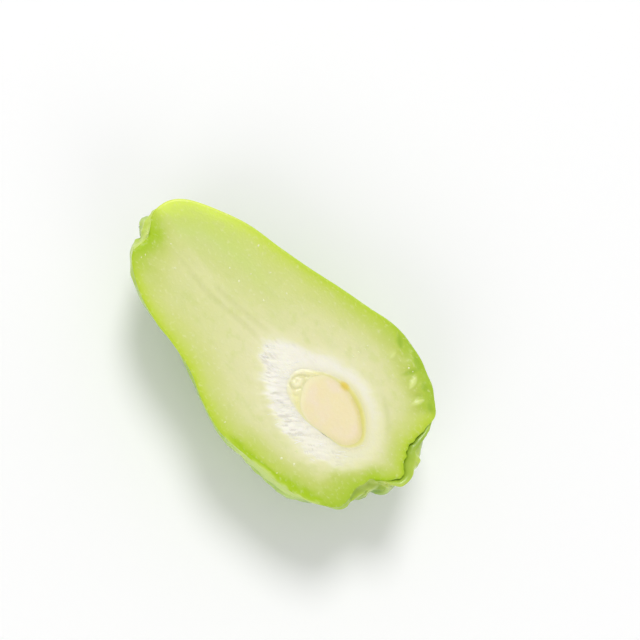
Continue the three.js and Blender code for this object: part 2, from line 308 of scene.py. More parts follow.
def strokes(points, lines):
    """Height of tapered ridges, and grooves where the height is negative, along straight lines in a plane."""
    total = np.zeros(points.shape[:-1])
    for x, y, to_x, to_y, height, reach in lines:
        start, way = np.array([x, y]), np.array([to_x - x, to_y - y])
        off = points[..., :2] - start
        share = np.clip(off @ way / (way @ way), 0, 1)
        distance = np.linalg.norm(off - share[..., None] * way, axis=-1)
        taper = 0.55 + 1.8 * share * (1 - share)
        total += height * taper * bell(distance, reach * taper)
    return total


def small_relief(point, station, angle, in_furrow):
    """Lumps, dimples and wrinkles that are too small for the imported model, and the short creases alone."""
    degrees, from_end = np.degrees(angle), np.minimum(station, LAST_STATION - station)
    fade = smooth(degrees / 8) * smooth((180 - degrees) / 8) * smooth(from_end / 1.5)
    crowded = 1 - smooth((from_end - 1.5) / 3.5)
    lumps = 1.0 * soft_noise(point, (17, 9, 9), 11) + 0.5 * soft_noise(point, (8, 4.5, 4.5), 12)
    ridges = 1.2 * (1 - np.abs(soft_noise(point, (24, 8, 8), 13))) ** 3 - 0.5
    round_belly = degrees * ROUND_PER_DEGREE + 1.6 * soft_noise(point, (9, 7, 7), 37)
    short = strokes(np.stack([station * ALONG_PER_STATION, round_belly], -1), SHORT_CREASES) * fade
    dimples = -0.46 * smooth((soft_noise(point, (4.2, 2.8, 2.8), 21) - 0.1) / 0.5)
    dimples = dimples * smooth(0.5 + 1.2 * soft_noise(point, (16, 12, 12), 22))
    wrinkles = (0.40 * in_furrow + 0.30 * crowded) * rough_noise(point, (7, 2.6, 2.6), 31, layers=2)
    wavy = 0.45 * np.sin(2.6 * station + 1.2 * np.sin(1.3 * station)) + 0.35 * soft_noise(point, 2.6, 33)
    wavy *= knife_side(point) * smooth((degrees - 140) / 25) * smooth((180 - degrees) / 5)
    return (lumps + ridges + dimples + wrinkles) * fade + short + wavy, short


# %% The whole skin
def outwards(station, angle, nudge=1e-3):
    """The way straight out of the bare skin, from a small step along it and one round it."""
    stations = np.clip([station - nudge, station + nudge], 0, LAST_STATION)
    angles = np.clip([angle - nudge, angle + nudge], 0, math.pi)
    along = bare_skin(stations[1], angle) - bare_skin(stations[0], angle)
    around = bare_skin(station, angles[1]) - bare_skin(station, angles[0])
    way = np.cross(along, around)
    return way / np.maximum(np.linalg.norm(way, axis=-1, keepdims=True), 1e-12)


def skin_surface(station, angle, finer=True):
    """Points of the skin in mm, with the cut face at z = 0. With each come its share of a furrow and of a
    crease, 0 to 1, and how far the small relief raises it."""
    height, in_furrow, crease = relief(station, angle)
    point = bare_skin(station, angle)
    rise, dents = height, np.zeros_like(height)
    if finer:
        small, short = small_relief(point, station, angle, in_furrow)
        dents = small - crease
        shoulder, crevice = lobe_shoulder(point, station, angle)
        rise = with_lip(height + dents + shoulder, point, angle)
        point[..., 2] -= crevice
        crease = crease - 0.7 * short
    point = point + outwards(station, angle) * rise[..., None]
    edge_only = np.clip(np.cos(angle), 0, 1) ** 8
    point[..., 2] -= face_drop(station, 0.0) * edge_only
    point[..., 2] = np.maximum(point[..., 2], -REST_DEPTH)
    return point, np.clip(in_furrow + 0.6 * crease, 0, 1), np.clip(crease, 0, 1), dents


# %% [markdown]
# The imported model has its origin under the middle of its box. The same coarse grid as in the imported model
# says where that middle is, so everything can be moved from the fruit's own lines into the shared frame.

# %% From the fruit's own lines to the shared frame
coarse = np.meshgrid(np.linspace(0, LAST_STATION, 64), np.linspace(0, math.pi, 37), indexing="ij")
coarse_points = skin_surface(*coarse, finer=False)[0].reshape(-1, 3)
CENTRE = (coarse_points.min(0) + coarse_points.max(0)) / 2
SHIFT = np.array([-CENTRE[0], -CENTRE[1], REST_DEPTH])


def in_frame(points):
    """From the fruit's own millimetres to metres in the shared frame."""
    return (points + SHIFT) / 1000


packed_low = np.array(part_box("fruit_half")[0])
misfit = np.abs(in_frame(coarse_points).min(0)[:2] - packed_low[:2]).max() * 1000
print("misfit to the packed model, mm:", round(float(misfit), 3))


# %% [markdown]
# ## The cut face
#
# The cut face is a flat sheet from the skin's edge in to the seed's pocket. Each point of the edge is joined
# to the pocket's brink along a straight line towards the middle of the seed, and rings of points lie across
# those lines, closer together near the edge where the colour changes fastest. It is not quite flat. The very
# edge is rounded by the knife, and the strands that feed the seed lie in faint grooves. The pith is spongy,
# has shrunk a little, and is torn in short rips where the knife dragged on it. On the full side the cut only
# grazes a lobe, so the edge rolls down there in a row of pleats. Along the hollow side runs a soft groove.

# %% Seed and pith outlines
MIDDLE = np.array([93.2, 6.2])
COAT_REACH = [17.7, 14.8, 12.7, 11.5, 11.3, 11.6, 12.6, 15.1, 19.3, 18.4, 14.0, 11.1, 9.8, 9.7, 11.4, 15.8]
KERNEL_REACH = [15.6, 12.4, 10.3, 9.2, 9.2, 9.7, 11.3, 13.3, 13.5, 12.2, 11.5, 10.3, 9.4, 9.3, 10.8, 14.5]
PITH_REACH = [22.0, 19.4, 17.8, 16.8, 16.2, 17.0, 19.4, 23.4, 35.0, 28.6, 23.6, 20.2, 19.0, 19.4, 20.6, 21.4]
GAP = 0.3               # air between the pieces, below the cut
CRACK_WIDTH = 0.13
POCKET_DEPTH = 8.2
FACE_LEVEL = -0.25      # the cut face stays this far under the box, so that what stands on it fits inside
EDGE_LEVEL = -0.55      # the knife's edge is rounded down to here
PITH_SUNK = 0.30        # how far the pith has shrunk down
TEAR_DEPTH = 0.22


def from_middle(angle, reach, z):
    """Points at an angle and a reach from the middle of the seed."""
    x, y = MIDDLE[0] + reach * np.cos(angle), MIDDLE[1] + reach * np.sin(angle)
    return np.stack([x, y, z + 0 * angle], -1)


def angle_from_middle(point):
    return np.arctan2(point[..., 1] - MIDDLE[1], point[..., 0] - MIDDLE[0])


def turn_off(angle, degrees):
    """How far an angle is from a direction, in degrees, the short way round."""
    return np.degrees(np.angle(np.exp(1j * (angle - math.radians(degrees)))))


def crack(angle):
    """The seed has come away from the pith along one side only; elsewhere they touch."""
    return CRACK_WIDTH * bell(turn_off(angle, 301), 12)


def bowl(angle, brim, depth, top, down, fullness=0.8):
    """A round-bottomed bowl below an outline: down is 0 at its brim and 1 at its lowest point."""
    sweep = down * math.pi / 2
    reach = brim * np.clip(np.cos(sweep), 0, 1) ** fullness * (down < 1)
    return from_middle(angle, reach, top - (depth + top) * np.sin(sweep))


print("length of the seed, mm:", round(COAT_REACH[0] + COAT_REACH[len(COAT_REACH) // 2], 1))


# %% Lines and folds of the cut face
VEINS = [   # strength and course: the strands that feed the seed, cut lengthwise
    (1.0, [(9, 2.0), (18, 2.4), (29, 1.3), (39, 2.2), (51, 3.6), (60, 2.4), (66, -3.5), (74, -10.5),
           (86, -15)]),
    (0.9, [(10, 4.5), (20, 4.9), (30, 5.2), (38, 5.7), (52, 7.6), (67, 10.6), (76, 17), (86, 22.5),
           (97, 24)]),
    (0.4, [(16, 13), (30, 17), (48, 20), (66, 24), (84, 29.5)]),
    (0.35, [(14, -4), (28, -7), (46, -9.5), (62, -13), (76, -19)])]
PLEATS = [   # from x, y to x, y, height, reach to either side: where the knife grazed the lobe
    (94.6, 35.6, 94.2, 39.6, 0.38, 1.0), (107.9, 33.4, 106.4, 38.6, 0.46, 1.2),
    (113.3, 30.0, 114.6, 34.6, 0.44, 1.2), (100.6, 31.0, 101.3, 33.0, 0.16, 0.8),
    (102.3, 34.8, 105.2, 41.4, -0.34, 1.4), (110.3, 31.9, 113.0, 35.6, -0.18, 1.2),
    (90.5, 44.4, 94.8, 42.0, -0.40, 1.5), (100.6, 43.4, 105.2, 42.2, -0.42, 1.6),
    (109.8, 39.0, 113.2, 37.8, -0.42, 1.6), (116.4, 36.0, 120.0, 33.6, -0.38, 1.5),
    (96.0, 44.2, 99.2, 43.6, 0.24, 1.3), (107.0, 42.0, 109.4, 40.8, 0.24, 1.2),
    (114.2, 38.6, 116.0, 37.2, 0.20, 1.0)]
GREEN_GROOVE = np.array([   # x, y, breadth: the groove along the edge on the hollow side
    (69, -28.6, 0.5), (74.8, -28.7, 0.8), (79, -28.4, 1.0), (82.2, -28.5, 1.5), (85.5, -27.9, 1.4),
    (88.0, -27.3, 0.7), (91.5, -26.6, 0.6), (95, -26.1, 0.8), (98.2, -25.6, 1.4), (101.9, -24.5, 2.0),
    (106.2, -23.1, 2.1), (110.8, -22.0, 1.4), (115.4, -19.8, 0.7)], float)


def dense(course, samples=160):
    """Closely spaced points along the smooth curve through a few places."""
    course = np.array(course, float)
    return along_curve(course, np.linspace(0, len(course) - 1, samples))


def distance_to(points, line):
    """Distance in the cut plane from each point to a line of dense points."""
    tree = KDTree(len(line))
    for number, spot in enumerate(line):
        tree.insert((spot[0], spot[1], 0.0), number)
    tree.balance()
    found = [tree.find((spot[0], spot[1], 0.0))[2] for spot in points.reshape(-1, points.shape[-1])]
    return np.array(found).reshape(points.shape[:-1])


def veins(points):
    """1 along the strands, 0 away from them, broken up in patches."""
    patchy = smooth(0.75 + 0.8 * soft_noise(points, (9, 5, 5), 53))
    strands = [strength * bell(distance_to(points, dense(course)), 1.3) for strength, course in VEINS]
    return np.max(strands, axis=0) * patchy


def pleats(points):
    """Height in mm of the pleats and nicks along the rolled edge."""
    return strokes(points, PLEATS) * (1 + 0.35 * soft_noise(points, (2.4, 2.4, 2), 57))


def green_groove(point):
    """How deep in the green groove each point is, and how far outside it, towards the skin, in mm."""
    course = dense(GREEN_GROOVE)
    breadth = np.interp(point[..., 0], course[:, 0], course[:, 2])
    breadth = breadth * (1 + 0.6 * soft_noise(point, (3.2, 3.2, 3), 58))
    outside = np.interp(point[..., 0], course[:, 0], course[:, 1]) - point[..., 1]
    along = smooth((point[..., 0] - 73) / 6) * smooth((117.5 - point[..., 0]) / 4) * (point[..., 1] < 0)
    return bell(distance_to(point, course), breadth) * along, (outside - 0.8 * breadth) * along


print("veins:", len(VEINS), "pleats and nicks:", len(PLEATS))


# %% [markdown]
# The pith has a ragged border that reaches furthest towards the stem. On one side the knife tore it along its
# fibres, and there it is rough, and on the other it was cut clean. How far a point lies beyond the border, in
# millimetres, decides everything else here: its white, its tears and how far it has sunk.

# %% The pith
FIBRE_WAY = math.radians(42)      # the pith's fibres lie this way, measured from the fruit's length


def along_fibres(point):
    """The same point on axes turned so that the first one runs along the fibres."""
    x, y = point[..., 0], point[..., 1]
    return np.stack([x * math.cos(FIBRE_WAY) + y * math.sin(FIBRE_WAY),
                     y * math.cos(FIBRE_WAY) - x * math.sin(FIBRE_WAY), point[..., 2]], -1)


def spongy(point):
    """1 on the side towards the hollow, where the knife tore the pith, and 0 where it cut it clean."""
    angle = angle_from_middle(point)
    return np.maximum(bell(turn_off(angle, 228), 56), 0.75 * bell(turn_off(angle, 302), 32))


def beyond_pith(point):
    """Distance from the pith's ragged border in mm: below 0 in the pith, above 0 in the flesh."""
    ragged = (0.7 + 1.1 * spongy(point)) * rough_noise(along_fibres(point), (4.5, 1.7, 2), 61)
    return distance_from(point, *MIDDLE) - reach_at(PITH_REACH, angle_from_middle(point)) - ragged


def tears(point):
    """Short tears in the pith, 0 to 1: most of them lie just inside its torn border."""
    beyond = beyond_pith(point)
    near_border = (0.25 + 0.75 * bell(beyond + 2.5, 3.5)) * smooth(0.4 - beyond / 3)
    rips = smooth((rough_noise(along_fibres(point), (2.6, 0.70, 1), 82, layers=2) - 0.22) / 0.55)
    return np.clip(spongy(point) * 1.3, 0, 1) * near_border * rips


def pith_mask(point):
    """1 in the white pith, 0 in the flesh, with a plume towards the stem."""
    return smooth(0.42 - beyond_pith(point) / 8.0)


def face_relief(point, rim_distance, pith, vein, torn):
    """Small ups and downs of the cut face in mm."""
    height = 0.04 * soft_noise(point, 9, 71) - 0.06 * vein - TEAR_DEPTH * torn
    sponge = (0.025 + 0.05 * spongy(point)) * rough_noise(along_fibres(point), (2.2, 0.9, 1), 81)
    height += pith * (sponge - PITH_SUNK)
    height += pleats(point) * smooth(rim_distance / 1.5)
    return height + (EDGE_LEVEL - FACE_LEVEL) * bell(rim_distance, 0.4)


# %% [markdown]
# All sheets are laid out as grids and then welded: points that fall on the same place become one, and faces
# with no area are left out. That closes the poles and joins the sheets into one watertight skin. Where two
# sheets meet, the welded point keeps the measures of the sheet that comes first in the list. So the sheet
# whose looks should reach right up to a shared rim is named first.

# %% Grids, welding and meshes
WELD_STEPS = 500     # per mm: points within a step of each other become one


def placed(name, data):
    """A new object in the scene with some mesh, light or camera."""
    made = bpy.data.objects.new(name, data)
    bpy.context.scene.collection.objects.link(made)
    return made


def carry(mesh, measure, values):
    """Let a mesh carry a number at each of its points."""
    numbers = values.ravel().astype(np.float32)
    mesh.attributes.new(measure, "FLOAT", "POINT").data.foreach_set("value", numbers)


def grid_faces(columns, rows, turned_over=False, first=0):
    """Corner numbers of the faces of a grid whose points are numbered on from first."""
    i, j = np.meshgrid(np.arange(columns), np.arange(rows), indexing="ij")
    a = first + (i * (rows + 1) + j).ravel()
    b, c, d = a + rows + 1, a + rows + 2, a + 1
    return np.stack([a, d, c, b] if turned_over else [a, b, c, d], -1)


def make_piece(name, sheets, finishes):
    """One closed mesh object from sheets of (grid of points in mm, turned over, finish number, measures).
    A measure that a sheet doesn't give is 0 on it."""
    faces, finish_of, total = [], [], 0
    for grid, turned_over, finish, _ in sheets:
        faces.append(grid_faces(grid.shape[0] - 1, grid.shape[1] - 1, turned_over, total))
        finish_of.append(np.full(len(faces[-1]), finish))
        total += grid.shape[0] * grid.shape[1]
    points = np.concatenate([grid.reshape(-1, 3) for grid, *_ in sheets])
    cells = np.round(points * WELD_STEPS).astype(np.int64)
    _, first, where = np.unique(cells, axis=0, return_index=True, return_inverse=True)
    faces, finish_of = where.ravel()[np.concatenate(faces)], np.concatenate(finish_of)
    loops, starts, kept = [], [], []
    for number, face in enumerate(faces):
        ring = [v for k, v in enumerate(face) if v != face[k - 1]]
        if len(set(ring)) >= 3:
            starts.append(len(loops))
            loops.extend(ring)
            kept.append(number)
    mesh = bpy.data.meshes.new(name)
    mesh.vertices.add(len(first))
    mesh.vertices.foreach_set("co", in_frame(points[first]).ravel())
    mesh.loops.add(len(loops))
    mesh.loops.foreach_set("vertex_index", loops)
    mesh.polygons.add(len(starts))
    mesh.polygons.foreach_set("loop_start", starts)
    mesh.polygons.foreach_set("material_index", finish_of[kept])
    mesh.polygons.foreach_set("use_smooth", np.ones(len(starts), bool))
    for measure in dict.fromkeys(key for *_, measures in sheets for key in measures):
        values = [np.broadcast_to(measures.get(measure, 0.0), grid.shape[:2]).ravel()
                  for grid, *_, measures in sheets]
        carry(mesh, measure, np.concatenate(values)[first])
    mesh.update(calc_edges=True)
    mesh.validate()
    for finish in finishes:
        mesh.materials.append(finish)
    triangles = sum(len(face.vertices) - 2 for face in mesh.polygons)
    print(f"{name}: {len(mesh.vertices)} points, {triangles} triangles")
    return placed(name, mesh)


# %% [markdown]
# ## Finishes
#
# Every finish is a small network of shader nodes. Writing them with plain arithmetic keeps them readable: the
# class below wraps one output of a node, and adding, subtracting or multiplying it adds the Math node that
# does it. Everything that is not arithmetic comes from one method that makes any node from its type, its
# settings and what goes into its sockets. Most finishes here are thin coats of colour laid one over another,
# each with its own share, so that one look can be changed without touching the rest.

# %% Colours and amounts
def colour(code):
    """A colour written as on the web, as the linear numbers that a shader wants."""
    parts = [int(code[k:k + 2], 16) / 255 for k in (1, 3, 5)]
    return (*[c / 12.92 if c <= 0.04045 else ((c + 0.055) / 1.055) ** 2.4 for c in parts], 1.0)


class Amount:
    """A number that changes over a surface."""

    def __init__(self, network, socket):
        self.network, self.socket = network, socket

    def maths(self, operation, *inputs):
        return self.network.amount("ShaderNodeMath", {"operation": operation}, dict(enumerate(inputs)))

    def __add__(self, other):
        return self.maths("ADD", self, other)

    def __radd__(self, other):
        return self.maths("ADD", other, self)

    def __sub__(self, other):
        return self.maths("SUBTRACT", self, other)

    def __rsub__(self, other):
        return self.maths("SUBTRACT", other, self)

    def __mul__(self, other):
        return self.maths("MULTIPLY", self, other)

    def __rmul__(self, other):
        return self.maths("MULTIPLY", other, self)

    def __truediv__(self, other):
        return self.maths("DIVIDE", self, other)

    def __rtruediv__(self, other):
        return self.maths("DIVIDE", other, self)

    def between(self, low, high):
        """0 at low, 1 at high, eased in between. High may be below low."""
        return self.network.amount("ShaderNodeMapRange", {"interpolation_type": "SMOOTHSTEP"}, {
            "Value": self, "From Min": low, "From Max": high})


# %% Networks of nodes
class Network:
    """A tree of nodes under construction."""

    def __init__(self, tree):
        self.tree = tree

    def node(self, kind, settings=None, sockets=None):
        """A node from its type, its settings, and the values or links of its sockets."""
        made = self.tree.nodes.new(kind)
        for key, value in (settings or {}).items():
            if key == "stops":
                ramp = made.color_ramp
                while len(ramp.elements) < len(value):
                    ramp.elements.new(0.5)
                for element, (position, shade) in zip(ramp.elements, value):
                    element.position, element.color = position, colour(shade)
            else:
                setattr(made, key, value)
        return self.feed(made, sockets or {})

    def feed(self, made, sockets):
        """Put values or links into sockets, each given by its number, its name or its identifier."""
        named = {s.identifier: s for s in made.inputs}
        named |= {s.name: s for s in reversed(made.inputs) if s.enabled}
        for key, value in sockets.items():
            socket = made.inputs[key] if isinstance(key, int) else named[key]
            value = value.socket if isinstance(value, Amount) else value
            if isinstance(value, bpy.types.NodeSocket):
                self.tree.links.new(value, socket)
            else:
                is_colour = isinstance(value, str) and value.startswith("#")
                socket.default_value = colour(value) if is_colour else value
        return made

    def amount(self, kind, settings=None, sockets=None, output=0):
        """One output of a new node, as a number to reckon with."""
        return Amount(self, self.node(kind, settings, sockets).outputs[output])


# %% A finish in a few lines
class Finish(Network):
    """A material under construction."""

    def __init__(self, name):
        self.material = bpy.data.materials.new(name)
        self.material.use_nodes = True
        super().__init__(self.material.node_tree)
        self.tree.nodes.clear()
        self.place = self.node("ShaderNodeTexCoord").outputs["Object"]

    def measure(self, name):
        """A number that the mesh carries at each point."""
        return self.amount("ShaderNodeAttribute", {"attribute_name": name}, output="Fac")

    def noise(self, size, stretch=(1, 1, 1), detail=3.0, seed=0.0, turn=0.0):
        """Noise from about 0 to 1, with lumps about size mm across, stretched along its own turned axes."""
        lump = [size / 1000 * s for s in stretch]
        where = self.node("ShaderNodeMapping", {"vector_type": "TEXTURE"}, {
            "Vector": self.place, "Scale": lump, "Rotation": (0, 0, turn),
            "Location": (-seed * lump[0], -0.7 * seed * lump[1], 0)})
        return self.amount("ShaderNodeTexNoise", {}, {
            "Vector": where.outputs[0], "Scale": 1.0, "Detail": detail}, "Fac")

    def specks(self, size, seed=0.0):
        """Distance to the nearest of many scattered specks, in shares of their spacing."""
        where = self.node("ShaderNodeMapping", {}, {
            "Vector": self.place, "Scale": (1000 / size,) * 3, "Location": (seed, 0, seed)})
        return self.amount("ShaderNodeTexVoronoi", {}, {"Vector": where.outputs[0], "Scale": 1.0}, "Distance")

    def mix(self, share, a, b):
        """Colour a where share is 0, colour b where it is 1."""
        node = self.node("ShaderNodeMix", {"data_type": "RGBA"}, {
            "Factor_Float": share, "A_Color": a, "B_Color": b})
        return next(s for s in node.outputs if s.identifier == "Result_Color")

    def coats(self, base, *over):
        """A base colour with thin coats over it, each given as (share, colour)."""
        for share, shade in over:
            base = self.mix(share, base, shade)
        return base

    def ramp(self, amount, *stops):
        """Colours along a scale, each given as (place from 0 to 1, colour)."""
        return self.node("ShaderNodeValToRGB", {"stops": stops}, {"Fac": amount}).outputs["Color"]

    def bump(self, height, distance):
        """Height from 0 to 1 as a small relief; distance is its full height in mm."""
        relief = {"Height": height, "Distance": distance / 1000, "Strength": 1.0}
        return self.node("ShaderNodeBump", {}, relief).outputs["Normal"]

    def done(self, **sockets):
        """Close the finish with one Principled shader, whose sockets are written with underscores."""
        sockets = {key.replace("_", " "): value for key, value in sockets.items()}
        shader = self.node("ShaderNodeBsdfPrincipled", {}, sockets)
        self.node("ShaderNodeOutputMaterial", {}, {"Surface": shader.outputs[0]})
        print(f"{self.material.name}: {len(self.tree.nodes)} nodes")
        return self.material


# %% [markdown]
# ### Skin
#
# The skin is a bright yellow-green, thin and waxy. Paler colour is painted on the raised lumps as
# painted light, and deeper green in the dents, furrows and creases and in the notch at the stem as painted
# shade. Near the cut, light is painted on round the stem scar and the blossom end, where the thin skin lets
# it through, and most on the thin ragged lip. Small pale pores are scattered over it, and it is a little
# brown and corky where the stem broke off and where the flower was. A coat layer gives the waxy gloss, and
# fine bumps break the reflections up as on real peel.

# %% Skin finish
skin = Finish("chayote_skin")
patches = skin.noise(26, (1.6, 1, 1), detail=2.0, seed=3.1)
mottle = skin.noise(3.2, (1.8, 1, 1), detail=3.0, seed=5.2)
in_furrow, raised, scar = skin.measure("in_furrow"), skin.measure("raised"), skin.measure("scar")
stem_end, flower_end = skin.measure("stem_end"), skin.measure("flower_end")
pores = skin.specks(2.3, seed=2.0).between(0.16, 0.07) * skin.noise(5.0, seed=9.0).between(0.42, 0.58)
skin_colour = skin.coats(
    skin.mix(patches.between(0.35, 0.68), "#7eaa18", "#9fc52c"),
    (mottle.between(0.45, 0.75) * 0.30, "#b4cf40"),
    # Paler on the raised lumps and darker in the dents: painted light and painted shade from the small relief.
    (raised.between(0.1, 0.8) * 0.45, "#b0ce3c"),
    (raised.between(-0.1, -0.6) * 0.45, "#719e14"),
    # Lighter skin near the cut at the stem and blossom ends: painted light where the thin skin lets light
    # through.
    (stem_end * 0.9, "#d3e46a"),
    (flower_end * 0.9, "#d0dd58"),
    # Paler along the cut edge, most on the ragged lip: painted light shining through the thin skin.
    (skin.measure("thin_edge") * 0.95, "#c9de7c"),
    (skin.measure("crevice") * 0.85, "#98b822"),
    # Deeper green in the furrows and darker still in their sharp creases: painted shade, kept off the blossom
    # end.
    (in_furrow.between(0.2, 0.95) * (0.8 - flower_end * 1.1), "#5f8c10"),
    (skin.measure("crease").between(0.25, 0.95) * (0.8 - flower_end * 0.8), "#3a660a"),
    (pores * 0.22, "#dce794"),
    (scar.between(0.15, 0.7), "#9a9a4e"))
peel = skin.noise(1.1, detail=2.0) * 0.6 + mottle * 0.4
skin_finish = skin.done(
    Base_Color=skin_colour, Roughness=0.30 + scar * 0.4 + in_furrow * 0.12 + (mottle - 0.5) * 0.2,
    Coat_Weight=0.55 - (stem_end + flower_end) * 0.4, Coat_Roughness=0.14, Specular_IOR_Level=0.4,
    Subsurface_Weight=0.12, Subsurface_Radius=(0.004, 0.006, 0.001), Subsurface_Scale=0.5,
    Normal=skin.bump(peel, 0.10))

# %% [markdown]
# ### Flesh and pith
#
# The flesh is wet and lets light through. Right under the skin it is vivid yellow-green, then it fades
# through pale green to cream within about fifteen millimetres. The pith round the seed is almost white and
# spongy on the side where it is torn, and a smoother cream on the other. Each point of the cut face knows its
# distance from the skin and how much pith it has, so these bands are ramps on real distances, and noise keeps
# their borders uneven. There are three ramps for the green, because it is darker towards the blossom end and
# almost lit from within on the lobe beside the stem.

# %% Flesh finish
BAND = 24     # mm from the skin that the green bands reach over
flesh = Finish("chayote_flesh")
rim, pith, vein = flesh.measure("rim"), flesh.measure("pith"), flesh.measure("vein")
spongy_side, pleat = flesh.measure("spongy"), flesh.measure("pleat")
cloud = flesh.noise(9, (1.5, 1, 1), detail=3.0, seed=1.3)
grain = flesh.noise(1.3, (1.3, 1, 1), detail=3.0, seed=4.4)
speckle = flesh.noise(3.4, (1.3, 1, 1), detail=2.0, seed=2.2)
wet_grain = flesh.noise(0.8, detail=2.0, seed=6.0)
tufts = flesh.noise(1.3, (3.2, 0.9, 1), detail=3.0, seed=8.0, turn=FIBRE_WAY)
depth = (rim + (cloud - 0.5) * 7.0 * rim.between(0.5, 8.0) + (grain - 0.5) * 1.2) / BAND
pale_band = flesh.ramp(
    depth, (0.0, "#b9d430"), (0.06, "#c6d945"), (0.15, "#cddb64"), (0.26, "#d3dc7f"),
    (0.42, "#d8dd8e"), (0.62, "#dde09c"), (0.85, "#dfe1a1"), (1.0, "#e0e2a3"))
deep_band = flesh.ramp(
    depth, (0.0, "#a0bf26"), (0.06, "#a8c630"), (0.16, "#b1ca40"), (0.28, "#c0cf5c"),
    (0.42, "#cdd777"), (0.62, "#d9dd93"), (0.85, "#dfe1a1"), (1.0, "#e0e2a3"))
bright_band = flesh.ramp(
    depth, (0.0, "#dcee5c"), (0.08, "#dbee60"), (0.17, "#d3e565"), (0.3, "#cddd6e"),
    (0.5, "#cedd7c"), (0.8, "#d5dc8c"), (1.0, "#dbdf98"))
pith_colour = flesh.coats(
    "#f4f1df",
    (spongy_side.between(0.15, 0.8), flesh.mix(tufts.between(0.34, 0.60), "#f2efe0", "#fbf8ea")),
    (flesh.measure("cream_side") * 0.9, "#eae8c2"),
    (flesh.measure("by_seed") * 0.9, "#efeab0"),
    (flesh.measure("torn") * 0.7, "#d6d2c2"))
flesh_colour = flesh.coats(
    pale_band,
    (flesh.measure("green_side"), deep_band),
    (flesh.measure("bright"), bright_band),
    (flesh.measure("cream") * rim.between(6.0, 15.0) * 0.85, "#e6e4b2"),
    (flesh.measure("vivid") * 0.95, "#abcc0c"),
    (cloud.between(0.52, 0.68) * rim.between(8.0, 14.0) * 0.30, "#d3dc90"),
    (speckle.between(0.48, 0.72) * rim.between(1.0, 5.0) * 0.38, "#cfd982"),
    (grain.between(0.54, 0.78) * 0.26, "#f1f1ca"),
    (vein.between(0.1, 0.95) * 0.32, "#cdd08c"),
    # Darker green in the nicks between pleats and paler on their ridges: painted shade and painted highlight
    # from their height.
    (pleat.between(0.05, 0.40) * 0.75, "#9bbc2c"),
    (pleat.between(-0.10, -0.42) * 0.55, "#e6ef9e"),
    (flesh.measure("halo") * rim.between(3.0, 9.0) * 0.85, "#eeecc0"),
    (pith.between(0.05, 0.95), pith_colour),
    (flesh.measure("ring") * 0.5, "#ccd28c"),
    (flesh.measure("pale_rim"), "#c9dc7e"))
flesh_finish = flesh.done(
    Base_Color=flesh_colour, Roughness=0.40 + pith * 0.25 + (wet_grain - 0.5) * 0.25,
    Coat_Weight=0.12, Coat_Roughness=0.15, Specular_IOR_Level=0.35,
    Subsurface_Weight=0.2, Subsurface_Radius=(0.006, 0.007, 0.002), Subsurface_Scale=0.5,
    Normal=flesh.bump(wet_grain * 0.35 + grain * 0.3 + tufts * pith * spongy_side * 0.5, 0.18))


# %% [markdown]
# ### Building the fruit
#
# Skin, cut face and pocket are three sheets of one piece. The measures that the finishes read are worked out
# here: the distance of each point of the cut face from the skin comes from a search tree over the edge, and
# the rest are soft spots and bands laid round known places. Painted masks would do the same, but these stay
# true to the shape when its lines are moved.

# %% Grids, and what varies round the cut edge
SKIN_ALONG, SKIN_ROUND, FACE_RINGS, POCKET_RINGS = 294, 150, 64, 12
CLOSER_AT_EDGES = 0.5     # the rows of the skin lie closer together near the cut edge
RING_CROWDING = 1.35      # and the rings of the cut face closer together near the skin
EDGE_SAMPLES = 3000       # points on the cut edge to measure the distance from
GROOVE_DEPTH = 0.22
BLOSSOM_FROM = 16.3       # station where the edge turns green and the crevice opens
GREEN_SPOTS = [(1.0, 1.0, 4.0, 1.0), (1.5, -6.0, 3.2, 0.75), (123.5, 0.5, 3.5, 0.7)]   # x, y, reach, share
GREEN_ROUND = {   # how deep the green under the skin is: station, share
    "full": [(0, 0.8), (2, 0.45), (3, 0), (7, 0), (10, 0.25), (12, 0.95), (15, 0.95), (16.3, 0.15),
             (18, 0.3), (21, 0.5)],
    "hollow": [(0, 0.85), (3, 0.6), (5, 0), (8, 0), (11, 0.3), (12.5, 0.4), (14, 0.7), (17, 0.8),
               (19, 0.7), (21, 0.6)]}
BRIGHT_ROUND = {   # how much light shines through the lobe beside the stem: station, share
    "full": [(0, 0), (1.3, 0.1), (2.5, 1), (4.5, 0.9), (6.5, 0.2), (8, 0), (21, 0)],
    "hollow": [(0, 0), (21, 0)]}
FADE_ROUND = {   # how fast the green fades inwards: station, speed
    "full": [(0, 1), (11, 1), (13, 0.9), (16, 1), (18, 1.3), (21, 1.7)],
    "hollow": [(0, 1), (3, 1), (5, 1.15), (8, 1.15), (12, 1.1), (14, 1.05), (15.7, 0.7), (17.5, 1.1),
               (19.5, 1.7), (21, 1.7)]}


def edge_points(turn):
    """Once round the cut edge: out along the full side, back along the hollow side."""
    on_full_side = turn <= 0.5
    station = np.where(on_full_side, turn, 1 - turn) * 2 * LAST_STATION
    point = skin_surface(station, np.where(on_full_side, 0.0, math.pi))[0]
    return station, on_full_side, point


def round_the_rim(tables, station, on_full_side):
    """Read a pair of tables, one for each side of the cut outline, at each station."""
    return np.where(on_full_side, eased(tables["full"], station), eased(tables["hollow"], station))


